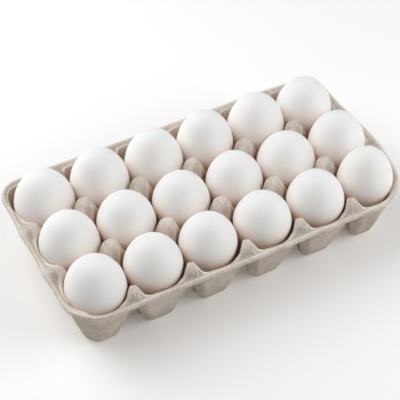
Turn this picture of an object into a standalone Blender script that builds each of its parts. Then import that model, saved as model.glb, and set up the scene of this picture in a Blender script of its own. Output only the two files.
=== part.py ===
"""An open egg carton of moulded pulp, three rows of six cells, with eighteen hen's eggs standing in it.

The tray is one sheet of pulp. Its upper face and its underside are made alike: eighteen cell outlines
share the ridges between them, and every outline is extruded inwards ring by ring, down a post or over a
saddle and along the wall of the cup, to the flat floor of the foot. The two faces meet at the rim.

Sizes are in millimetres and are scaled to metres at the end. The origin is the middle of the rectangle
that the tray stands on: +X runs along the six columns, +Y from the front row c to the back row a, and
+Z up.
"""

import math

import bmesh
import bpy
from mathutils import Vector

MM = 0.001

# The lattice of cells
COLUMNS = 6
ROWS = "abc"
PITCH = 46.0
HALF = PITCH / 2
LAST_COLUMN = (COLUMNS - 1) * HALF
LAST_ROW = (len(ROWS) - 1) * HALF

# The rim, a rounded rectangle in plan
RIM_X = 143.6
RIM_Y = 76.2
RIM_CORNER = 18.0
RIM_Z = 52.7
FLANGE = 2.6
FLANGE_FALL = 0.4

# The sheet of pulp: its thickness upright, and across a steep wall
PULP = 1.8
WALL = 1.4

# The cups: a square floor with cut corners under a round hole
HOLE_RADIUS = 24.8
FLOOR_HALF = 10.3
FLOOR_CHAMFER = 3.2
CORNER_CHAMFER = 7.0
WALL_CURVE = 1.15

# The ridges between the cups: saddles, posts, and the outer wall with its peaks
SADDLE_Z = 14.0
SADDLE_DROP = 3.4
SADDLE_WIDTH = 7.0
POST_Z = 66.6
POST_RADIUS = 7.8
SHOULDER_Z = 50.0
SHOULDER_RADIUS = 15.5
WALL_X = 133.1
WALL_Y = 61.6
WALL_FOOT = 6.3
PEAK_RISE = 4.4
PEAK_DEPTH = 4.5
PEAK_WIDTH = 6.5

# Points along a cell's side, from its corners. The outer sides put one of them on each peak
NEAR_STOP = 7.0
FAR_STOP = 16.0
OUTER_X = WALL_X + NEAR_STOP
OUTER_Y = WALL_Y + NEAR_STOP

# The eggs: the width and the height of the top of each, by row and from left to right
EGGS = {
    "a": ((45.4, 79.0), (45.5, 80.0), (45.4, 80.0), (45.0, 81.0), (45.4, 81.0), (45.4, 78.5)),
    "b": ((45.3, 78.5), (45.0, 77.0), (44.9, 76.5), (45.0, 76.5), (45.4, 76.5), (45.0, 78.5)),
    "c": ((45.2, 77.5), (44.9, 76.5), (45.0, 76.0), (45.3, 76.0), (45.2, 76.5), (42.4, 80.5)),
}
EQUATOR_Z = 53.5

# The pointed end below the equator: its length over the egg's width, and how much it narrows
POINTED_END = 0.75
TAPER = 0.08

EGG_SIDES = 12
EGG_BANDS = 8

# Lengths are worked out and compared this closely
CLOSE = 0.001

# The two faces of the pulp
UPPER, UNDER = 0, 1

# Finishes: linear colours and roughnesses
PULP_COLOUR = (0.47, 0.42, 0.37)
PULP_ROUGHNESS = 0.95
SHELL_COLOUR = (0.84, 0.80, 0.77)
SHELL_ROUGHNESS = 0.55
SHARP_ANGLE = math.radians(40)


def clamp(value, low, high):
    return max(low, min(high, value))


def bell(distance, radius, power):
    """1 at the middle and 0 far past the radius, with steeper sides for a higher power."""
    return math.exp(-((abs(distance) / radius) ** power))


def cells():
    """The name and the middle of each cell, row by row from the back."""
    for row, letter in enumerate(ROWS):
        for column in range(COLUMNS):
            middle = Vector((column * PITCH - LAST_COLUMN, LAST_ROW - row * PITCH))
            yield f"{letter}{column + 1}", middle


def ridge_height(point, face):
    """Height of the pulp between the cups: saddles, round posts, and the outer wall with its peaks."""
    line_x = clamp(PITCH * round(point.x / PITCH), HALF - LAST_COLUMN, LAST_COLUMN - HALF)
    line_y = math.copysign(LAST_ROW - HALF, point.y)
    off_x, off_y = abs(point.x - line_x), abs(point.y - line_y)
    skin = face * WALL

    off_line = min(off_x, off_y, SADDLE_WIDTH)
    height = SADDLE_Z - SADDLE_DROP * (off_line / SADDLE_WIDTH) ** 2

    from_post = math.hypot(off_x, off_y) + skin
    height += (SHOULDER_Z - height) * bell(from_post, SHOULDER_RADIUS, 6)
    height += (POST_Z - SHOULDER_Z) * bell(from_post, POST_RADIUS, 3)

    inside = max(0.0, min(WALL_X - abs(point.x), WALL_Y - abs(point.y)) + skin)
    height += (RIM_Z - height) * bell(inside, WALL_FOOT, 3)
    long_side = bell(abs(point.y) - WALL_Y, PEAK_DEPTH, 2) * bell(off_x, PEAK_WIDTH, 2)
    short_side = bell(abs(point.x) - WALL_X, PEAK_DEPTH, 2) * bell(off_y, PEAK_WIDTH, 2)
    return height + PEAK_RISE * (long_side + short_side) - face * PULP


def floor_radius(middle, ahead, face):
    """Distance from a cup's middle to the edge of its floor."""
    corner_cell = abs(middle.x) > LAST_COLUMN - CLOSE and abs(middle.y) > LAST_ROW - CLOSE
    outwards = ahead.x * middle.x > 0 and ahead.y * middle.y > 0
    chamfer = CORNER_CHAMFER if corner_cell and outwards else FLOOR_CHAMFER
    along_x, along_y = abs(ahead.x), abs(ahead.y)
    side = FLOOR_HALF / max(along_x, along_y)
    cut_corner = (2 * FLOOR_HALF - chamfer) / (along_x + along_y)
    return min(side, cut_corner) + face * WALL


def wall_height(middle, ahead, radius, face):
    """Height of a cup's wall, which flares from the square floor to the round hole."""
    floor = floor_radius(middle, ahead, face)
    share = (radius - floor) / (HOLE_RADIUS + face * WALL - floor)
    return PULP + share**WALL_CURVE * (RIM_Z - PULP) - face * PULP


def edge_radius(middle, ahead, outline, face):
    """Distance from a cup's middle to where its wall meets the ridge, found by halving."""
    low, high = floor_radius(middle, ahead, face), outline
    while high - low > CLOSE:
        radius = (low + high) / 2
        below = wall_height(middle, ahead, radius, face) < ridge_height(middle + radius * ahead, face)
        low, high = (radius, high) if below else (low, radius)
    return low


def rim_point(point, inset):
    """The point of the rounded rim that faces a point of the outer sides, drawn in by the inset."""
    core_x, core_y = RIM_X - RIM_CORNER, RIM_Y - RIM_CORNER
    core = Vector((clamp(point.x, -core_x, core_x), clamp(point.y, -core_y, core_y)))
    return core + (RIM_CORNER - inset) * (point - core).normalized()


def cell_corner(middle, turn):
    """A corner of a cell, between four cells or on the outer sides of the lattice."""
    corner = middle + HALF * Vector(turn)
    if abs(corner.x) > LAST_COLUMN:
        corner.x = math.copysign(OUTER_X, corner.x)
    if abs(corner.y) > LAST_ROW:
        corner.y = math.copysign(OUTER_Y, corner.y)
    return corner


def cell_outline(middle):
    """The points round a cell, anticlockwise, those on the outer sides pushed out to the flange."""
    corners = [cell_corner(middle, turn) for turn in ((-1, -1), (1, -1), (1, 1), (-1, 1))]
    for start, end in zip(corners, corners[1:] + corners[:1]):
        side = (end - start).length
        for stop in (0.0, NEAR_STOP, FAR_STOP, side / 2, side - FAR_STOP, side - NEAR_STOP):
            point = start.lerp(end, stop / side)
            outermost = abs(point.x) > OUTER_X - CLOSE or abs(point.y) > OUTER_Y - CLOSE
            yield rim_point(point, FLANGE) if outermost else point


def add_cells(bm, face):
    """One polygon for each cell, joined to its neighbours along the ridges."""
    shared = {}
    polygons = []
    for _, middle in cells():
        loop = []
        for point in cell_outline(middle):
            key = (round(point.x, 2), round(point.y, 2))
            if key not in shared:
                shared[key] = bm.verts.new((*point, ridge_height(point, face)))
            loop.append(shared[key])
        polygons.append((middle, bm.faces.new(loop)))
    return polygons


def sink(bm, polygons, place):
    """Extrude each cell's polygon in place, then move every point of the new ring with place()."""
    sunk = []
    for middle, polygon in polygons:
        ring = bmesh.ops.extrude_discrete_faces(bm, faces=[polygon])["faces"][0]
        for vert in ring.verts:
            offset = vert.co.xy - middle
            vert.co = place(middle, offset.normalized(), offset.length)
        sunk.append((middle, ring))
    return sunk


def add_flange(bm, face):
    """Carry the outer edge of the cells out to the rim."""
    edges = [edge for edge in bm.edges if edge.is_boundary]
    for item in bmesh.ops.extrude_edge_only(bm, edges=edges)["geom"]:
        if isinstance(item, bmesh.types.BMVert):
            item.co = (*rim_point(item.co.xy, 0.0), RIM_Z - FLANGE_FALL - face * PULP)


def make_sheet(face):
    """The upper face or the underside of the pulp, as a mesh open at the rim."""

    def halfway(middle, ahead, outline):
        radius = (outline + edge_radius(middle, ahead, outline, face)) / 2
        point = middle + radius * ahead
        return (*point, ridge_height(point, face))

    def hole(middle, ahead, outline):
        point = middle + edge_radius(middle, ahead, outline, face) * ahead
        return (*point, ridge_height(point, face))

    def floor(middle, ahead, _):
        return (*(middle + floor_radius(middle, ahead, face) * ahead), PULP - face * PULP)

    bm = bmesh.new()
    polygons = add_cells(bm, face)
    add_flange(bm, face)
    for place in (halfway, hole, floor):
        polygons = sink(bm, polygons, place)
    if face == UNDER:
        bmesh.ops.reverse_faces(bm, faces=bm.faces)
    mesh = bpy.data.meshes.new("sheet")
    bm.to_mesh(mesh)
    bm.free()
    return mesh


def add_object(name, bm, material):
    """Turn a mesh in millimetres into an object in metres."""
    bmesh.ops.scale(bm, vec=(MM, MM, MM), verts=bm.verts)
    mesh = bpy.data.meshes.new(name)
    bm.to_mesh(mesh)
    bm.free()
    mesh.shade_smooth()
    mesh.set_sharp_from_angle(angle=SHARP_ANGLE)
    mesh.materials.append(material)
    part = bpy.data.objects.new(name, mesh)
    bpy.context.scene.collection.objects.link(part)
    return part


def make_tray(material):
    """Join the two faces of the pulp round the rim."""
    bm = bmesh.new()
    for face in (UPPER, UNDER):
        sheet = make_sheet(face)
        bm.from_mesh(sheet)
        bpy.data.meshes.remove(sheet)
    bmesh.ops.bridge_loops(bm, edges=[edge for edge in bm.edges if edge.is_boundary])
    bmesh.ops.triangulate(bm, faces=bm.faces)
    return add_object("tray", bm, material)


def make_egg(name, middle, width, top, material):
    """A sphere stretched to an egg, blunt end up, its widest part just above the rim."""
    bm = bmesh.new()
    bmesh.ops.create_uvsphere(bm, u_segments=EGG_SIDES, v_segments=EGG_BANDS, radius=1.0)
    for vert in bm.verts:
        taper = 1 - TAPER * max(0.0, -vert.co.z) ** 2
        end = top - EQUATOR_Z if vert.co.z > 0 else POINTED_END * width
        across = taper * width / 2
        vert.co = Vector((across * vert.co.x, across * vert.co.y, end * vert.co.z))
    bmesh.ops.triangulate(bm, faces=bm.faces)
    egg = add_object(name, bm, material)
    egg.location = MM * Vector((*middle, EQUATOR_Z))
    return egg


def make_material(name, colour, roughness):
    material = bpy.data.materials.new(name)
    material.use_nodes = True
    shader = material.node_tree.nodes["Principled BSDF"]
    shader.inputs["Base Color"].default_value = (*colour, 1.0)
    shader.inputs["Roughness"].default_value = roughness
    shader.inputs["Metallic"].default_value = 0.0
    return material


def main():
    for old in list(bpy.data.objects):
        bpy.data.objects.remove(old, do_unlink=True)
    pulp = make_material("pulp", PULP_COLOUR, PULP_ROUGHNESS)
    shell = make_material("eggshell", SHELL_COLOUR, SHELL_ROUGHNESS)
    make_tray(pulp)
    for name, middle in cells():
        width, top = EGGS[name[0]][int(name[1]) - 1]
        make_egg(f"egg_{name}", middle, width, top, shell)


main()
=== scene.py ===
# %% [markdown]
# # An open carton of eggs
#
# A carton like this is one sheet of wet paper pulp, sucked onto a wire mould and dried. So it has one
# even thickness, no sharp corner anywhere, and a rough, fibrous skin. Eighteen hen's eggs stand in its
# cups. The construction, with every size that matters, is already made and fixed: this script loads it
# as a frame, reads the sizes from it, and makes the fine surface that takes its place.

import math

import bmesh
import bpy
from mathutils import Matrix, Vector, noise


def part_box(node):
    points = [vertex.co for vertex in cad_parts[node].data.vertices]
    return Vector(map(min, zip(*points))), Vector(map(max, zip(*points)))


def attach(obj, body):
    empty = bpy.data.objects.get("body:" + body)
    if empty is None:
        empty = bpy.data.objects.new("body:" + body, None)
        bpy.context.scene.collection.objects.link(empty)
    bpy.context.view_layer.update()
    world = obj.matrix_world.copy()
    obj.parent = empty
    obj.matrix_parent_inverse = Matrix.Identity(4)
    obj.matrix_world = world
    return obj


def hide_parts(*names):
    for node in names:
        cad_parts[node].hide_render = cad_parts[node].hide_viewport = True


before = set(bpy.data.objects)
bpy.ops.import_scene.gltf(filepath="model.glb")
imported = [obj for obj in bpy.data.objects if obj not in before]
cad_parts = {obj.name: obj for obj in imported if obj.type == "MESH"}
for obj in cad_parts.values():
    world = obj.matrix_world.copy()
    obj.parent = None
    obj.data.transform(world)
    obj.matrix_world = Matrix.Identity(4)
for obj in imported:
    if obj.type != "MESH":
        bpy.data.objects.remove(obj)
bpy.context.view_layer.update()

# %% [markdown]
# ## Sizes
#
# The shapes are worked out in millimetres, because moulded details are that small, and each finished mesh
# is scaled to metres. The places of the cups come from the eggs in the frame, and the rim's outline and
# the highest point from the tray in the frame, so the fine pieces can't drift away from the construction.

# %% Read the sizes from the frame
MM = 0.001
ROWS = "abc"
COLUMNS = 6


def box_in_mm(node):
    low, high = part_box(node)
    return low / MM, high / MM


def middle_of(node):
    low, high = box_in_mm(node)
    return (low + high) / 2


PITCH = (middle_of("egg_b4") - middle_of("egg_b3")).x
HALF = PITCH / 2
LAST_COLUMN = (COLUMNS - 1) * HALF
LAST_ROW = (len(ROWS) - 1) * HALF
TRAY_TOP = box_in_mm("tray")[1]
RIM_X, RIM_Y, POST_Z = TRAY_TOP
print(f"pitch {PITCH:.1f}, rim {2 * RIM_X:.1f} x {2 * RIM_Y:.1f}, posts {POST_Z:.1f} mm high")

# %% [markdown]
# ## The camera
#
# The carton is seen from above its front left corner, through a long lens from almost a metre away, so the
# rows stay nearly parallel. A camera can be aimed with Euler angles, but it is simpler to give the angle
# round the object, the height of the view and the distance, and to let `to_track_quat` turn the camera
# to the point that it aims at. A small roll is added, as of a camera held by hand.

# %% Aim the camera
AZIMUTH = math.radians(-29.8)
ELEVATION = math.radians(48.0)
ROLL = math.radians(1.55)
DISTANCE = 0.913
LENS = 104.9
SENSOR = 36.0
STAND_POINT = Vector((0.0, 0.0, 0.0294))
AIM_POINT = Vector((-0.0017, 0.0070, 0.0340))


def make_camera():
    lens = bpy.data.cameras.new("camera")
    lens.sensor_width = SENSOR
    lens.lens = LENS
    camera = bpy.data.objects.new("camera", lens)
    across = math.cos(ELEVATION)
    back = Vector((math.sin(AZIMUTH) * across, -math.cos(AZIMUTH) * across, math.sin(ELEVATION)))
    camera.location = STAND_POINT + DISTANCE * back
    camera.rotation_euler = (camera.location - AIM_POINT).to_track_quat("Z", "Y").to_euler()
    camera.rotation_euler.rotate_axis("Z", ROLL)
    bpy.context.scene.collection.objects.link(camera)
    bpy.context.scene.camera = camera
    return camera


camera = make_camera()
print("camera at", [round(c, 3) for c in camera.location])

# %% [markdown]
# ## The floor
#
# The carton stands on a wide, plain, pale floor. A grid of one face is enough for that. It lies a hair
# under the feet, so that the two surfaces never coincide. Its white is a little warm, because the lamps
# are a little blue, and it glows faintly, which keeps it pale in the soft shadow beside the carton.

# %% Lay the floor
FLOOR_SIZE = 4.0
FLOOR_DROP = 0.00005
FLOOR_WHITE = (0.950, 0.910, 0.870, 1.0)
FLOOR_ROUGHNESS = 0.9
FLOOR_GLOW = 0.12
GLOW_WHITE = (1.0, 1.0, 1.0, 1.0)


def link(name, data):
    """A new object that holds this data, in the scene."""
    thing = bpy.data.objects.new(name, data)
    bpy.context.scene.collection.objects.link(thing)
    return thing


def make_floor():
    bm = bmesh.new()
    bmesh.ops.create_grid(bm, x_segments=1, y_segments=1, size=FLOOR_SIZE / 2)
    bmesh.ops.translate(bm, vec=(0, 0, -FLOOR_DROP), verts=bm.verts)
    mesh = bpy.data.meshes.new("floor")
    bm.to_mesh(mesh)
    bm.free()
    paint = bpy.data.materials.new("floor_white")
    paint.use_nodes = True
    sockets = paint.node_tree.nodes["Principled BSDF"].inputs
    sockets["Base Color"].default_value = FLOOR_WHITE
    sockets["Roughness"].default_value = FLOOR_ROUGHNESS
    sockets["Specular IOR Level"].default_value = 0.0
    sockets["Emission Color"].default_value = GLOW_WHITE
    sockets["Emission Strength"].default_value = FLOOR_GLOW
    mesh.materials.append(paint)
    return link("floor", mesh)


floor = make_floor()
print("floor", FLOOR_SIZE, "m wide")

# %% [markdown]
# ## The light
#
# Soft light shows the form of white eggs best, because a shell has little colour of its own: what is seen
# is how much light reaches each side. Three large square softboxes hang round the carton. One is high at
# the back left and whitens the tops, one is lower behind the carton, and one is at the front right and
# lifts the sides that the camera sees. Area lights were chosen over a sun lamp, whose shadows would be too
# hard. A faint world fills in the rest. All of them are slightly blue, like daylight.
#
# Light gets down between the eggs only after many bounces from shell to shell. Blender stops at four
# diffuse bounces unless it is told otherwise, and the gaps would then be too dark and too cold.

# %% Hang the lights
DAYLIGHT = (0.955, 1.0, 1.045)
WORLD_STRENGTH = 0.15
LAMP_DISTANCE = 1.2
LAMP_SIZE = 1.0
DIFFUSE_BOUNCES = 12


def hang_softbox(name, azimuth, elevation, watts):
    """A square lamp that faces the carton, placed by angles like the camera's, in degrees."""
    lamp = bpy.data.lights.new(name, "AREA")
    lamp.size = LAMP_SIZE
    lamp.energy = watts
    lamp.color = DAYLIGHT
    holder = link(name, lamp)
    around = math.radians(azimuth)
    up = math.radians(elevation)
    away = Vector((math.sin(around) * math.cos(up), -math.cos(around) * math.cos(up), math.sin(up)))
    holder.location = STAND_POINT + LAMP_DISTANCE * away
    holder.rotation_euler = away.to_track_quat("Z", "Y").to_euler()


world = bpy.data.worlds.new("studio")
world.use_nodes = True
world.node_tree.nodes["Background"].inputs["Color"].default_value = (*DAYLIGHT, 1.0)
world.node_tree.nodes["Background"].inputs["Strength"].default_value = WORLD_STRENGTH
bpy.context.scene.world = world
hang_softbox("left_softbox", 240, 60, 6.6)
hang_softbox("back_softbox", 210, 30, 7.2)
hang_softbox("right_softbox", 54, 30, 9.1)
bpy.context.scene.view_settings.view_transform = "Standard"
bpy.context.scene.cycles.diffuse_bounces = DIFFUSE_BOUNCES
print(len(bpy.data.lights), "softboxes, world strength", WORLD_STRENGTH)

# %% [markdown]
# ## Shader maths as Python
#
# A pattern is arithmetic on textures, and in the node editor each sum is a Math node. Written as Python
# expressions the same sums can be read in one line, so a small class wraps a socket and lets the
# operators add the Math nodes. Colours go through Mix nodes instead, because a Math node would turn them
# grey. Every other node comes from one method, `add`.


# %% Wrap sockets and materials
class Signal:
    """A socket that gives one number for each point of a surface."""

    def __init__(self, finish, socket):
        self.finish = finish
        self.socket = socket

    def math(self, operation, first, second):
        return self.finish.add("ShaderNodeMath", {"operation": operation}, {0: first, 1: second})

    def __add__(self, other):
        return self.math("ADD", self, other)

    def __radd__(self, other):
        return self.math("ADD", other, self)

    def __sub__(self, other):
        return self.math("SUBTRACT", self, other)

    def __rsub__(self, other):
        return self.math("SUBTRACT", other, self)

    def __mul__(self, other):
        return self.math("MULTIPLY", self, other)

    def __rmul__(self, other):
        return self.math("MULTIPLY", other, self)


class Finish:
    """A material on a Principled shader, with one method that makes any node."""

    def __init__(self, name, roughness):
        self.material = bpy.data.materials.new(name)
        self.material.use_nodes = True
        self.nodes = self.material.node_tree.nodes
        self.links = self.material.node_tree.links
        self.shader = self.nodes["Principled BSDF"]
        self.set("Roughness", roughness)

    def add(self, kind, settings, values, output=0):
        node = self.nodes.new(kind)
        for name, value in settings.items():
            setattr(node, name, value)
        for name, value in values.items():
            self.feed(node.inputs[name], value)
        return Signal(self, node.outputs[output])

    def feed(self, socket, value):
        if isinstance(value, Signal):
            self.links.new(value.socket, socket)
        else:
            socket.default_value = value

    def set(self, name, value):
        self.feed(self.shader.inputs[name], value)

    def noise(self, where, scale, detail=2.0, rough=0.5):
        """Cloudy noise from 0 to 1, with about `scale` clouds to the metre."""
        values = {"Vector": where, "Scale": scale, "Detail": detail, "Roughness": rough}
        return self.add("ShaderNodeTexNoise", {}, values)

    def mix(self, share, first, second):
        """A colour that goes from the first to the second as the share goes from 0 to 1."""
        return self.add("ShaderNodeMix", {"data_type": "RGBA"}, {0: share, 6: first, 7: second}, output=2)

    def between(self, signal, low, high):
        """0 where the signal is under low, 1 where it is over high, and even in between."""
        values = {0: signal, 1: low, 2: high}
        return self.add("ShaderNodeMapRange", {"interpolation_type": "SMOOTHSTEP"}, values)


overloaded = ("add", "radd", "sub", "rsub", "mul", "rmul")
print("operators on sockets:", [name for name in vars(Signal) if name.strip("_") in overloaded])

# %% [markdown]
# ## Moulded pulp
#
# Pulp is felted waste paper: a warm grey with paler clouds where the water drained faster, short pale
# fibres that lie in all directions, and a few dark flecks of old print. It could be painted on an image,
# but noise on Object coordinates has no seams and is the same size on every wall. The fibres are the
# thin lines where a cloudy noise crosses its middle value. The same noises feed a Bump node, so what
# looks rough is also lit as rough.
#
# Two things follow the form instead, so the mesh carries them as attributes. `lip` marks the edges that
# get a painted highlight: the lips and the top of the rim's bead are made paler. A second attribute marks
# painted shade: the underside of the sheet, and the valley just inside the rim, are made darker.

# %% Make the pulp finish
PULP_DARK = (0.555, 0.465, 0.385, 1.0)
PULP_PALE = (0.880, 0.775, 0.675, 1.0)
PULP_LIP_HIGHLIGHT = (0.93, 0.85, 0.76, 1.0)
FLECK = (0.22, 0.19, 0.165, 1.0)
BLACK = (0.0, 0.0, 0.0, 1.0)
PULP_ROUGHNESS = 0.95
PULP_GLOSS = 0.15
CLOUDS = 65
GRAIN = 520
DUST = 1500
FLECKS = 820
LONG_FIBRES = 230
SHORT_FIBRES = 310
FIBRE_WIDTH = 0.03
FLECK_COVER = 0.7
LIP_HIGHLIGHT_COVER = 0.55
PAINTED_SHADE_LOSS = 0.28
PULP_BUMP = 0.55
PULP_BUMP_DEPTH = 0.0009


def make_pulp():
    pulp = Finish("moulded_pulp", PULP_ROUGHNESS)
    pulp.set("Specular IOR Level", PULP_GLOSS)
    where = pulp.add("ShaderNodeTexCoord", {}, {}, "Object")
    clouds = pulp.noise(where, CLOUDS, 3)
    grain = pulp.noise(where, GRAIN, 4, 0.7)
    dust = pulp.noise(where, DUST, 2)

    def fibres(scale, turn):
        turned = pulp.add("ShaderNodeMapping", {}, {"Vector": where, "Rotation": turn})
        crossing = pulp.noise(turned, scale, 1) - 0.5
        line = crossing.math("ABSOLUTE", crossing, 0.0)
        return 1 - pulp.between(line, 0.0, FIBRE_WIDTH)

    # How much the clouds, the grain and the fibres add to the colour here, and to the relief below.
    fibre = fibres(LONG_FIBRES, (0.3, 0.9, 0.1)) + fibres(SHORT_FIBRES, (1.2, 0.2, 2.0))
    pale = 0.5 + 1.1 * (clouds - 0.5) + 1.3 * (grain - 0.5) + 0.10 * fibre
    colour = pulp.mix(pulp.between(pale, 0.0, 1.0), PULP_DARK, PULP_PALE)
    flecks = pulp.between(pulp.noise(where, FLECKS, 1), 0.70, 0.78)
    colour = pulp.mix(FLECK_COVER * flecks, colour, FLECK)
    # Painted highlight: where the lip attribute is set, the colour is made paler.
    lip = pulp.add("ShaderNodeAttribute", {"attribute_name": "lip"}, {}, "Fac")
    colour = pulp.mix(LIP_HIGHLIGHT_COVER * lip, colour, PULP_LIP_HIGHLIGHT)
    # Painted shade: the underside of the sheet and the valley inside the rim are darkened towards black.
    painted_shade = pulp.add("ShaderNodeAttribute", {"attribute_name": "painted_shade"}, {}, "Fac")
    pulp.set("Base Color", pulp.mix(PAINTED_SHADE_LOSS * painted_shade, colour, BLACK))
    height = 0.9 * clouds + 0.8 * grain + 0.25 * dust + 0.12 * fibre
    bump = {"Height": height, "Strength": PULP_BUMP, "Distance": PULP_BUMP_DEPTH}
    pulp.set("Normal", pulp.add("ShaderNodeBump", {}, bump))
    return pulp.material


moulded_pulp = make_pulp()
print(moulded_pulp.name, "has", len(moulded_pulp.node_tree.nodes), "nodes")

# %% [markdown]
# ## Eggshell
#
# A white shell is close to plain white, with a breath of cream, and so thin and chalky that light soaks
# in and comes out warm next to where it went in. Subsurface scattering does that, with red going
# furthest. Down in the cup the shell only sees pulp and its neighbours, so the warm light bounced there
# is painted into its colour: a painted warm bounce from the shoulders down, and a deeper, peach one below
# the lips. Both are taken from the height above the floor. The pores are a very fine bump, too small to
# see one by one, which keeps the gloss soft.

# %% Make the eggshell finish
SHELL_WHITE = (0.945, 0.907, 0.872, 1.0)
SHELL_CREAM = (0.942, 0.893, 0.845, 1.0)
SHELL_PAINTED_BOUNCE = (0.945, 0.860, 0.805, 1.0)
SHELL_PAINTED_DEEP_BOUNCE = (0.95, 0.78, 0.65, 1.0)
PAINTED_BOUNCE_FROM, PAINTED_BOUNCE_TO = 0.072, 0.050
DEEP_BOUNCE_FROM, DEEP_BOUNCE_TO = 0.058, 0.043
SHELL_ROUGHNESS = 0.48
SHELL_GLOSS = 0.3
SOAK_SHARE = 0.5
SOAK_COLOUR = (1.0, 0.5, 0.3)
SOAK_DEPTH = 0.010
SHELL_CLOUDS = 60
PORES = 1400
PORE_BUMP = 0.08
PORE_DEPTH = 0.0003


def make_eggshell():
    shell = Finish("chalky_shell", SHELL_ROUGHNESS)
    shell.set("Specular IOR Level", SHELL_GLOSS)
    shell.set("Subsurface Weight", SOAK_SHARE)
    shell.set("Subsurface Radius", SOAK_COLOUR)
    shell.set("Subsurface Scale", SOAK_DEPTH)
    where = shell.add("ShaderNodeTexCoord", {}, {}, "Object")
    height = shell.add("ShaderNodeSeparateXYZ", {}, {"Vector": where}, "Z")
    clouds = shell.noise(where, SHELL_CLOUDS, 2)
    white = shell.mix(shell.between(clouds, 0.3, 0.7), SHELL_WHITE, SHELL_CREAM)
    # Painted bounce light: below these heights the shell's colour is warmed, as if by light bounced off
    # pulp and shells.
    painted_bounce = 1 - shell.between(height, PAINTED_BOUNCE_TO, PAINTED_BOUNCE_FROM)
    painted_deep_bounce = 1 - shell.between(height, DEEP_BOUNCE_TO, DEEP_BOUNCE_FROM)
    shell.set("Base Color", shell.mix(painted_deep_bounce, shell.mix(painted_bounce, white, SHELL_PAINTED_BOUNCE), SHELL_PAINTED_DEEP_BOUNCE))
    pores = shell.noise(where, PORES, 2)
    bump = {"Height": pores, "Strength": PORE_BUMP, "Distance": PORE_DEPTH}
    shell.set("Normal", shell.add("ShaderNodeBump", {}, bump))
    return shell.material


eggshell = make_eggshell()
print(eggshell.name, "has", len(eggshell.node_tree.nodes), "nodes")

# %% [markdown]
# ## The form of the pulp
#
# The mould's form is easiest to tell as heights and widths. Three small helpers are enough for it: a
# limit, a bell curve for whatever rises and falls again, and a maximum whose corner is rounded, because
# wet pulp can't hold a sharp one. The sheet has two faces, and the underside is the upper face again,
# moved in by the pulp's thickness, so the functions below take a face and give both.

# %% Helpers for the form
UPPER, UNDER = 0, 1
PULP = 1.8
WALL = 1.4


def clamp(value, low, high):
    return max(low, min(high, value))


def bell(distance, radius, power):
    """1 at the middle and 0 far past the radius, with steeper sides for a higher power."""
    return math.exp(-((abs(distance) / radius) ** power))


def soft_max(first, second, blend):
    """The higher of two heights, with the corner between them rounded."""
    return (first + second + math.hypot(first - second, blend)) / 2


print("a bell at its radius is", round(bell(1.0, 1.0, 2), 2), "of its height")

# %% [markdown]
# ## The outline of the rim
#
# From above, the rim is a rectangle with rounded corners, and the front corners are rounder than those at
# the back. Such an outline is everything at one distance from a smaller rectangle inside it, so the
# nearest point of that rectangle, the core, is all that is needed to measure from the rim.

# %% Measure from the rim
FRONT_LEFT_CORNER, FRONT_RIGHT_CORNER, BACK_CORNER = 26.0, 37.0, 18.0


def rim_core(x, y):
    """The centre that the rim turns round near (x, y), and its radius there."""
    corner = BACK_CORNER if y > 0 else FRONT_RIGHT_CORNER if x > 0 else FRONT_LEFT_CORNER
    core_x, core_y = RIM_X - corner, RIM_Y - corner
    return Vector((clamp(x, -core_x, core_x), clamp(y, -core_y, core_y))), corner


def from_rim(x, y):
    """How far (x, y) is inside the rim."""
    core, radius = rim_core(x, y)
    return radius - (Vector((x, y)) - core).length


def rim_point(x, y, inset):
    """The point of the rounded rim that faces (x, y), drawn in by the inset."""
    core, radius = rim_core(x, y)
    return core + (radius - inset) * (Vector((x, y)) - core).normalized()


print("the rim is", round(from_rim(0, -LAST_ROW), 1), "mm in front of the front cups' middles")

# %% [markdown]
# ## Heights between the cups
#
# Between the cups the pulp is a landscape: low saddles, a tall round post with a small shoulder wherever
# four cups meet, and an outer wall that climbs to the rim. That wall has a little peak between every two
# outer cups, except at the back. The front peaks are small shelves with a steep face towards the rim, and
# stand a little to the left of the posts behind them; those on the short sides are rounder. The corners
# rise slightly, and a shallow valley runs all round just inside the rim. A bell curve makes each of these.

# %% Heights of the landscape
RIM_Z = 52.7
SADDLE_Z = 10.6
SADDLE_DROP = 2.4
SADDLE_WIDTH = 7.0
SHOULDER_Z = 52.0
SHOULDER_RADIUS = 16.5
SHOULDER_POWER = 6
DOME_Z = 63.0
DOME_POWER = 3.3
DOME_STEEPNESS = 0.0080
DOME_BLEND = 1.2
WALL_X = RIM_X - 13.6
WALL_Y = RIM_Y - 14.6
BACK_WALL_Y = RIM_Y - 8.0
WALL_FOOT = 6.3
LONG_PEAK = {
    "middle": RIM_Y - 13.4, "rise": 5.2, "width": 5.7,
    "inner": 4.0, "outer": 8.0, "front": 7,
}
SHORT_PEAK = {
    "middle": RIM_X - 8.1, "rise": 5.0, "width": 6.3,
    "inner": 6.0, "outer": 4.2, "front": 3,
}
PEAK_ASIDE = 1.5
CORNER_X = RIM_X - 10.5
CORNER_Y = RIM_Y - 12.0
CORNER_RISE = 1.8
CORNER_SPREAD = 7.0
VALLEY_DEPTH = 1.3
VALLEY_IN = 4.6
VALLEY_WIDTH = 1.5


def peak(across, along, form):
    """A small hill on the outer wall, with one slope towards the rim and another towards the cups."""
    outwards = across - form["middle"]
    if outwards > 0:
        profile = bell(outwards, form["outer"], form["front"])
    else:
        profile = bell(outwards, form["inner"], 2)
    return form["rise"] * profile * bell(along, form["width"], 3)


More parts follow.
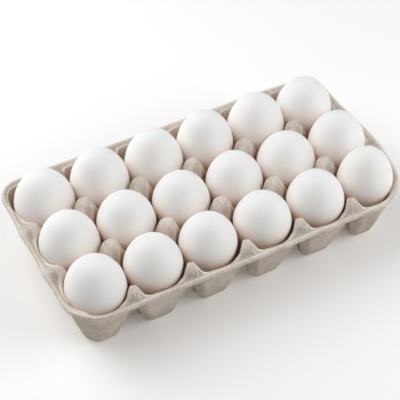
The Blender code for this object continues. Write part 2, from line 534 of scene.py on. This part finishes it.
def ridge_height(x, y, face):
    """Height of the pulp's upper face or underside where no cup is cut into it."""
    post_x = clamp(PITCH * round(x / PITCH), HALF - LAST_COLUMN, LAST_COLUMN - HALF)
    off_x, off_y = abs(x - post_x), abs(abs(y) - HALF)
    off_line = min(off_x, off_y, SADDLE_WIDTH)
    saddle = SADDLE_Z - SADDLE_DROP * (off_line / SADDLE_WIDTH) ** 2
    from_post = math.hypot(off_x, off_y) + face * WALL
    shoulder = saddle + (SHOULDER_Z - saddle) * bell(from_post, SHOULDER_RADIUS, SHOULDER_POWER)
    dome = DOME_Z - DOME_STEEPNESS * from_post**DOME_POWER
    height = soft_max(shoulder, dome, DOME_BLEND)
    inside = max(0.0, min(WALL_X - abs(x), BACK_WALL_Y - y, WALL_Y + y) + face * WALL)
    height += (RIM_Z - height) * bell(inside, WALL_FOOT, 3)
    height += peak(-y, x - post_x + PEAK_ASIDE, LONG_PEAK) + peak(abs(x), off_y, SHORT_PEAK)
    corner = math.hypot(abs(x) - CORNER_X, abs(y) - CORNER_Y)
    height += CORNER_RISE * bell(corner, CORNER_SPREAD, 2)
    return height - VALLEY_DEPTH * bell(from_rim(x, y) - VALLEY_IN, VALLEY_WIDTH, 2) - face * PULP


print("saddle", round(ridge_height(0, 0, UPPER), 1), "post", round(ridge_height(0, HALF, UPPER), 1), "mm")

# %% [markdown]
# ## Widths of a cup
#
# A cup is cut down into the landscape. Its foot is a square with its corners cut off, and the wall widens
# from there to a mouth that is nearly round. Only towards a long side of the tray is the mouth squarer:
# there a table gives its radius by direction, from 0 degrees along the tray to 90 straight across it. The
# left and right halves of a front cup differ a little, and so do the corner cups. Towards a long side the
# eight flat faces also run up almost to the mouth, while between the cups they soon turn round.

# %% Widths of a cup
FLOOR_HALF = 10.3
FLOOR_CUT = 0.31
FRONT_CORNER_CUT = 0.68
HOLE_RADIUS = 24.4
SHORT_SIDE_LOSS = 0.7
REACH_LEFT = (
    (0, 24.4), (28, 24.9), (40, 27.5), (48, 28.9), (53, 28.9),
    (60, 28.0), (69, 26.9), (82, 26.4), (90, 26.2),
)
REACH_RIGHT = ((0, 24.4), (50, 24.4), (65, 24.7), (78, 25.8), (90, 26.2))
REACH_CORNER = ((0, 23.6), (26, 24.8), (48, 24.9), (60, 26.5), (75, 26.2), (90, 26.2))
REACH_BACK_LEFT = ((0, 24.6), (20, 26.0), (45, 28.6), (70, 27.0), (90, 26.2))
REACH_FRONT_RIGHT = ((0, 23.4), (28, 22.3), (48, 22.0), (62, 22.8), (76, 24.5), (90, 26.2))
WALL_POWER = 0.87
ROUND_POWER = 3
FACET_POWER = 8
TALLEST_SHARE = 1.3
NEARLY = 1.0


def read_table(table, place):
    """The value at a place in rows of (place, value), eased from one row to the next."""
    for (start, low), (end, high) in zip(table, table[1:]):
        if place <= end:
            part = clamp((place - start) / (end - start), 0.0, 1.0)
            return low + (high - low) * part * part * (3 - 2 * part)
    return table[-1][1]


def to_short_side(middle, ahead):
    """Whether `ahead` points from the middle of an end cup to its short side of the tray."""
    return abs(middle.x) > LAST_COLUMN - NEARLY and ahead.x * middle.x > 0


def to_long_side(middle, ahead):
    return abs(middle.y) > LAST_ROW - NEARLY and ahead.y * middle.y > 0


def hole_radius(middle, ahead):
    """Radius of a cup's mouth; it is squarer towards a long side of the tray."""
    if not to_long_side(middle, ahead):
        return HOLE_RADIUS - to_short_side(middle, ahead) * SHORT_SIDE_LOSS * ahead.x**2
    if not to_short_side(middle, ahead):
        table = REACH_LEFT if ahead.x < 0 else REACH_RIGHT
    elif middle.x > 0 > middle.y:
        table = REACH_FRONT_RIGHT
    elif middle.x < 0 < middle.y:
        table = REACH_BACK_LEFT
    else:
        table = REACH_CORNER
    return read_table(table, math.degrees(math.atan2(abs(ahead.y), abs(ahead.x))))


def cup_radius(middle, ahead, height, face):
    """Distance from the middle of a cup to its wall, at a height and in the direction `ahead`."""
    across_x, across_y = abs(ahead.x), abs(ahead.y)
    at_long_side = to_long_side(middle, ahead)
    front_corner = at_long_side and middle.y < 0 and to_short_side(middle, ahead)
    cut = FRONT_CORNER_CUT if front_corner else FLOOR_CUT
    eight_sided = min(1 / max(across_x, across_y), (2 - cut) / (across_x + across_y))
    tallest = 1.0 if at_long_side else TALLEST_SHARE
    share = clamp((height - (1 - face) * PULP) / (RIM_Z - PULP), 0.0, tallest)
    half = FLOOR_HALF + (hole_radius(middle, ahead) - FLOOR_HALF) * share**WALL_POWER
    roundness = min(1.0, share ** (FACET_POWER if at_long_side else ROUND_POWER))
    return half * (eight_sided + (1 - eight_sided) * roundness) + face * WALL


inner_cup, along = Vector((HALF, 0.0)), Vector((1.0, 0.0))
widths = [round(2 * cup_radius(inner_cup, along, height, UPPER), 1) for height in (PULP, SADDLE_Z, RIM_Z)]
print("a cup is", widths, "mm wide at its floor, at the saddle and at the rim's height")

# %% [markdown]
# ## Cells
#
# A plain height field tears on walls as steep as these, so the points of the mesh follow the form. The
# tray is divided into cells, one to a cup, whose edges run along the ridges from post to post. The outer
# cells are larger and reach out to the flange, where their edges turn with the rim. The points along an
# edge are closer together near the corners of the cell, where the tips of the posts are.

# %% Points round a cell
SIDE_POINTS = 22
EASE = 0.62
FLANGE = 2.7
SLACK = 0.01


def cell_corner(middle, turn):
    """A corner of a cell: half a pitch from its middle, or out at the flange on the tray's own sides."""
    x, y = middle + HALF * Vector(turn)
    if abs(x) > LAST_COLUMN:
        x = math.copysign(RIM_X - FLANGE, x)
    if abs(y) > LAST_ROW:
        y = math.copysign(RIM_Y - FLANGE, y)
    return Vector((x, y))


def cell_outline(middle):
    """Points round a cell, from corner to corner."""
    corners = [cell_corner(middle, turn) for turn in ((-1, -1), (1, -1), (1, 1), (-1, 1))]
    for start, end in zip(corners, corners[1:] + corners[:1]):
        for step in range(SIDE_POINTS):
            even = step / SIDE_POINTS
            share = (1 - EASE) * even + EASE * even * even * (3 - 2 * even)
            point = start.lerp(end, share)
            past_x = abs(point.x) > LAST_COLUMN + HALF - SLACK
            past_y = abs(point.y) > LAST_ROW + HALF - SLACK
            yield rim_point(point.x, point.y, FLANGE) if past_x or past_y else point


print("a cell has", len(list(cell_outline(inner_cup))), "points round it")

# %% [markdown]
# ## Spokes
#
# Each cell gets spokes, from its outline on the ridges inwards: over the lip in a small curve, down the
# wall, and round the foot's edge onto the floor. The lip is where the wall meets the landscape, and its
# height is found by halving an interval until it is small enough. Lips are sharpest beside the posts,
# rounder at the rim, and roundest down on the saddles.

# %% Run a spoke from the ridge to the floor
LIP = 1.1
RIM_LIP = 2.2
RIM_LIP_REACH = 12.0
SADDLE_LIP = 3.4
LOW_LIP, HIGH_LIP = 12.0, 30.0
LIP_ROOM = 0.45
FOOT_CURVE = 1.6
FOOT_ROOM = 0.5
INNER_FLOOR = 0.4
CLOSE_ENOUGH = 0.001
RIDGE_STOPS = (0.0, 0.10, 0.20, 0.31, 0.44, 0.60, 0.80)
WALL_STOPS = (0.10, 0.22, 0.36, 0.52, 0.68, 0.84)
CURVE_STEPS = 4


def rounded(start, corner, end):
    """A short curve from start to end that is pulled towards the corner."""
    for step in range(CURVE_STEPS + 1):
        share = step / CURVE_STEPS
        yield start.lerp(corner, share).lerp(corner.lerp(end, share), share)


def spoke(middle, outline, face):
    """The points of one spoke, from the cell's outline to near the middle of the floor."""
    reach = (outline - middle).length
    ahead = (outline - middle) / reach

    def on_ridge(radius):
        x, y = middle + radius * ahead
        return Vector((x, y, ridge_height(x, y, face)))

    def on_wall(height):
        return Vector((*(middle + cup_radius(middle, ahead, height, face) * ahead), height))

    floor = PULP - face * PULP
    low, high = floor, POST_Z
    while high - low > CLOSE_ENOUGH:
        height = (low + high) / 2
        radius = cup_radius(middle, ahead, height, face)
        below = radius < reach and height < on_ridge(radius).z
        low, high = (height, high) if below else (low, height)

    lip = on_wall(low)
    lip_radius = (lip.xy - middle).length
    from_wall = max(0.0, WALL_X - abs(lip.x)) * max(0.0, WALL_Y - abs(lip.y))
    lowness = 1 - clamp((low - LOW_LIP) / (HIGH_LIP - LOW_LIP), 0.0, 1.0)
    softness = LIP + (RIM_LIP - LIP) * bell(from_wall, RIM_LIP_REACH, 2) + (SADDLE_LIP - LIP) * lowness
    turn = min(softness, LIP_ROOM * (reach - lip_radius))
    outer = on_ridge(lip_radius + turn)
    inner = on_wall(max(low - softness, floor + FOOT_CURVE + FOOT_ROOM))
    foot = on_wall(floor + FOOT_CURVE)
    edge = on_wall(floor)
    floor_radius = (edge.xy - middle).length
    points = [on_ridge(reach + stop * (lip_radius + turn - reach)) for stop in RIDGE_STOPS]
    points += rounded(outer, lip, inner)
    points += [on_wall(inner.z + stop * (foot.z - inner.z)) for stop in WALL_STOPS]
    points += rounded(foot, edge, Vector((*(middle + (floor_radius - FOOT_CURVE) * ahead), floor)))
    points.append(Vector((*(middle + INNER_FLOOR * floor_radius * ahead), floor)))
    return points


example = spoke(inner_cup, Vector((HALF, HALF)), UPPER)
highest, lowest = round(example[0].z, 1), round(example[-1].z, 1)
print("a spoke has", len(example), "points, from", highest, "to", lowest, "mm")

# %% [markdown]
# ## From spokes to a cup
#
# The mesh itself is only extruded: a disc is made, and extruded in place once for each ring, and each new
# ring moves to its next point on the spokes. The rings of the lip are marked for a painted highlight on
# the upper face. The cell's outline is the edge of the mesh, and neighbouring cells share its points, so
# that they can be merged into one sheet later.

# %% Extrude a cup
LIP_RINGS = range(len(RIDGE_STOPS), len(RIDGE_STOPS) + CURVE_STEPS + 1)


def make_cup(middle, face):
    """One cell of the sheet, as a mesh of its own: a disc, extruded ring by ring along the spokes."""
    spokes = [spoke(middle, outline, face) for outline in cell_outline(middle)]
    bm = bmesh.new()
    number = bm.verts.layers.int.new("spoke")
    painted_highlight = bm.verts.layers.float.new("lip")
    bmesh.ops.create_circle(bm, cap_ends=True, segments=len(spokes), radius=1.0)
    for index, vert in enumerate(bm.verts):
        vert[number] = index
    disc = bm.faces[:][0]
    for ring in range(len(spokes[0])):
        if ring:
            disc = bmesh.ops.extrude_discrete_faces(bm, faces=[disc])["faces"][0]
        for vert in disc.verts:
            vert.co = spokes[vert[number]][ring]
            # Painted highlight on the lip rings of the upper face.
            vert[painted_highlight] = float(ring in LIP_RINGS and face == UPPER)
    mesh = bpy.data.meshes.new("cup")
    bm.to_mesh(mesh)
    bm.free()
    return mesh


print("rings", LIP_RINGS.start, "to", LIP_RINGS.stop - 1, "of a cup are its lip")

# %% [markdown]
# ## The rim
#
# The edge of the flange isn't cut straight through. It has a low bead, a fine groove under the bead's
# outer side, and below that the blunt edge that the mould left. From the side these make two fine lines
# all round the carton. Each point of that profile is how far in from the edge it lies, and how far down.
# The sheet's open edge is extruded outwards once for each of them, on the upper face and on the
# underside. The top of the bead gets a painted highlight, and the valley inside it gets painted shade.

# %% Extrude the rim
UPPER_RIM = (
    (2.45, -0.35), (2.1, -0.55), (1.0, -0.65), (0.65, -0.4),
    (0.55, 0.3), (0.65, 0.55), (0.15, 0.65), (0.0, 0.95),
)
UNDER_RIM = ((2.3, 2.0), (1.9, 2.5), (0.4, 2.6), (0.0, 2.3))
BEAD_TOP = -0.3
BEAD_HIGHLIGHT = 0.6
VALLEY_SHADE = 0.65
SHADE_OFFSET = 0.7
SHADE_WIDTH = 2.0
SHADE_BELOW_RIM = 2.5


def add_rim(bm, profile):
    painted_highlight = bm.verts.layers.float["lip"]
    for inset, drop in profile:
        edges = [edge for edge in bm.edges if edge.is_boundary]
        for item in bmesh.ops.extrude_edge_only(bm, edges=edges)["geom"]:
            if isinstance(item, bmesh.types.BMVert):
                x, y = rim_point(item.co.x, item.co.y, FLANGE)
                item.co = (*rim_point(x, y, inset), ridge_height(x, y, UPPER) - drop)
                # Painted highlight on the top of the bead.
                item[painted_highlight] = BEAD_HIGHLIGHT * (drop < BEAD_TOP)


def paint_shade_on_pulp(bm, face):
    """Mark painted shade: the whole underside, and on the upper face the valley inside the rim."""
    painted_highlight = bm.verts.layers.float["lip"]
    painted_shade = bm.verts.layers.float.new("painted_shade")
    for vert in bm.verts:
        x, y, z = vert.co
        valley = bell(from_rim(x, y) - VALLEY_IN - SHADE_OFFSET, SHADE_WIDTH, 4)
        valley = valley * (z > RIM_Z - SHADE_BELOW_RIM) * (1 - vert[painted_highlight])
        vert[painted_shade] = 1.0 if face == UNDER else VALLEY_SHADE * valley


print("the rim's edge is", round(UNDER_RIM[-1][1] - UPPER_RIM[-1][1], 2), "mm high")

# %% [markdown]
# ## Closing the sheet
#
# All cups of one face are put into one mesh, and the points that neighbours share are merged. The upper
# face and the underside then meet only at the rim, where `bridge_loops` closes the gap between them. That
# makes the tray one closed solid with real thickness, as a Solidify modifier would, but here each face
# has its own rim. Last, the normals are made to point outwards.

# %% Close the sheet
MERGE = 0.01


def make_sheet(face):
    bm = bmesh.new()
    for row in ROWS:
        for column in range(COLUMNS):
            middle = middle_of(f"egg_{row}{column + 1}").xy
            cup = make_cup(middle, face)
            bm.from_mesh(cup)
            bpy.data.meshes.remove(cup)
    bmesh.ops.remove_doubles(bm, verts=bm.verts, dist=MERGE)
    add_rim(bm, UNDER_RIM if face else UPPER_RIM)
    paint_shade_on_pulp(bm, face)
    sheet = bpy.data.meshes.new("sheet")
    bm.to_mesh(sheet)
    bm.free()
    return sheet


def make_tray():
    bm = bmesh.new()
    for face in (UPPER, UNDER):
        sheet = make_sheet(face)
        bm.from_mesh(sheet)
        bpy.data.meshes.remove(sheet)
    bmesh.ops.bridge_loops(bm, edges=[edge for edge in bm.edges if edge.is_boundary])
    bmesh.ops.recalc_face_normals(bm, faces=bm.faces)
    return bm


tray_bm = make_tray()
open_edges = sum(not edge.is_manifold for edge in tray_bm.edges)
print("tray:", len(tray_bm.verts), "points,", len(tray_bm.faces), "faces,", open_edges, "open edges")

# %% [markdown]
# ## Made by hand, or nearly
#
# Wet pulp shrinks unevenly as it dries, so no two walls are quite alike. A slow noise moves every point
# a fraction of a millimetre, and dies out near the ground, so the feet stay flat. The sides bow out as
# well: the left one beside its two peaks, the right one most, and the long ones slightly. A modifier
# could do this too, but moving the points in the mesh keeps the finished object plain. Blender starts
# its noise from the clock, so a seed is set first, and the carton comes out the same every time.

# %% Warp the tray and finish it as an object
SEED = 3
WARP = 0.45
WARP_SCALE = 1 / 28.0
STILL_BELOW = 12.0
BOW_FROM = 12.0
LEFT_BULGE = 1.2
LEFT_BULGE_WIDTH = 9.0
RIGHT_BOW = 3.4
RIGHT_BOW_WIDTH = 30.0
RIGHT_BOW_Y = -8.0
BACK_BOW = 1.5
BACK_BOW_WIDTH = 115.0
FRONT_BOW = 1.1
FRONT_BOW_WIDTH = 95.0
FRONT_BOW_X = 40.0


def near(distance):
    """1 at a side of the tray, and 0 from BOW_FROM inside it."""
    return clamp(1 - distance / BOW_FROM, 0.0, 1.0)


def warp(bm):
    for vert in bm.verts:
        x, y, z = vert.co
        off = noise.noise_vector(vert.co * WARP_SCALE) * WARP * clamp(z / STILL_BELOW, 0.0, 1.0)
        left = -LEFT_BULGE * bell(abs(y) - HALF, LEFT_BULGE_WIDTH, 2)
        right = RIGHT_BOW * bell(y - RIGHT_BOW_Y, RIGHT_BOW_WIDTH, 3)
        back = BACK_BOW * bell(x, BACK_BOW_WIDTH, 6)
        front = -FRONT_BOW * bell(x - FRONT_BOW_X, FRONT_BOW_WIDTH, 4)
        bow_x = near(RIM_X - abs(x)) * (right if x > 0 else left)
        bow_y = near(RIM_Y - y) * back + near(RIM_Y + y) * front
        vert.co += off + Vector((bow_x, bow_y, 0))


def finish_piece(name, bm, material, slot, *nodes):
    """A mesh in millimetres becomes a piece in metres that stands for nodes of the frame."""
    bmesh.ops.scale(bm, vec=(MM, MM, MM), verts=bm.verts)
    mesh = bpy.data.meshes.new(name)
    bm.to_mesh(mesh)
    bm.free()
    mesh.shade_smooth()
    mesh.materials.append(material)
    piece = link(name, mesh)
    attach(piece, "root")
    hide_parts(*nodes)
    return piece


noise.seed_set(SEED)
warp(tray_bm)
tray = finish_piece("pulp_tray", tray_bm, moulded_pulp, "pulp", "tray")
print(tray.name, "is", [round(side / MM, 1) for side in tray.dimensions], "mm")

# %% [markdown]
# ## The eggs
#
# An egg is a sphere stretched unevenly: more to the pointed end, which stands in the cup, than to the
# blunt one. `create_uvsphere` gives the sphere, and each point's height decides how far it is stretched
# and how much it is drawn in. Both ends are narrower than a ball's: the upper one slightly, and the lower
# one so that it sits inside the cup's walls.
#
# No two eggs of a dozen are alike. Each takes its width and its top from its own solid in the frame, and
# a list adds how far it stands aside in its cup, how much taller it is and how much wider, all in
# millimetres. Then all stand a little nearer the camera and higher than the solids do, and a slow noise
# dents them very slightly.

# %% Shape the eggs
EGG_SIDES = 48
EGG_BANDS = 32
EQUATOR_Z = 51.5
POINTED_END = 0.75
TOP_TAPER = 0.08
LOW_TAPER = 0.09
SEATS = {
    "a": (
        (0.2, 1.7, 1.2), (0.1, 2.7, 0.8), (0.7, 2.6, 0.9),
        (0.2, 2.0, 0.5), (0.8, 0.8, 0.9), (0.4, 1.0, 0.6),
    ),
    "b": (
        (0.3, 1.2, 0.3), (0.6, 0.9, 0.0), (0.8, 0.8, -0.5),
        (1.1, 0.9, -0.5), (1.8, 1.2, 1.0), (2.6, 2.3, 0.8),
    ),
    "c": (
        (0.1, 0.9, 0.3), (0.0, 0.5, -0.9), (-0.6, 0.2, -1.0),
        (-0.3, 0.2, -1.0), (0.4, 1.0, -0.5), (-0.3, 1.8, 1.2),
    ),
}
TO_THE_RIGHT = Vector((0.87, -0.50))
TO_THE_CAMERA = Vector((-0.50, -0.87))
NEARER = 1.4
LIFT = 1.15
DENT = 0.12
DENT_SCALE = 1 / 16.0


def make_egg(row, column):
    node = f"egg_{row}{column + 1}"
    low, high = box_in_mm(node)
    aside, taller, wider = SEATS[row][column]
    middle = ((low + high) / 2).xy + aside * TO_THE_RIGHT + NEARER * TO_THE_CAMERA
    width = high.y - low.y + wider
    rise = high.z - EQUATOR_Z + taller
    bm = bmesh.new()
    bmesh.ops.create_uvsphere(bm, u_segments=EGG_SIDES, v_segments=EGG_BANDS, radius=1.0)
    for vert in bm.verts:
        x, y, z = vert.co
        across = (1 - TOP_TAPER * max(z, 0.0) - LOW_TAPER * max(-z, 0.0)) * width / 2
        up = z * (rise if z > 0 else POINTED_END * width)
        vert.co = (middle.x + x * across, middle.y + y * across, EQUATOR_Z + LIFT + up)
        vert.co += DENT * noise.noise_vector(vert.co * DENT_SCALE)
    return finish_piece(node.replace("egg", "shell"), bm, eggshell, "eggshell", node)


eggs = [make_egg(row, column) for row in ROWS for column in range(COLUMNS)]
print(len(eggs), "eggs of", len(eggs[0].data.polygons), "faces")

# %% [markdown]
# ## The end
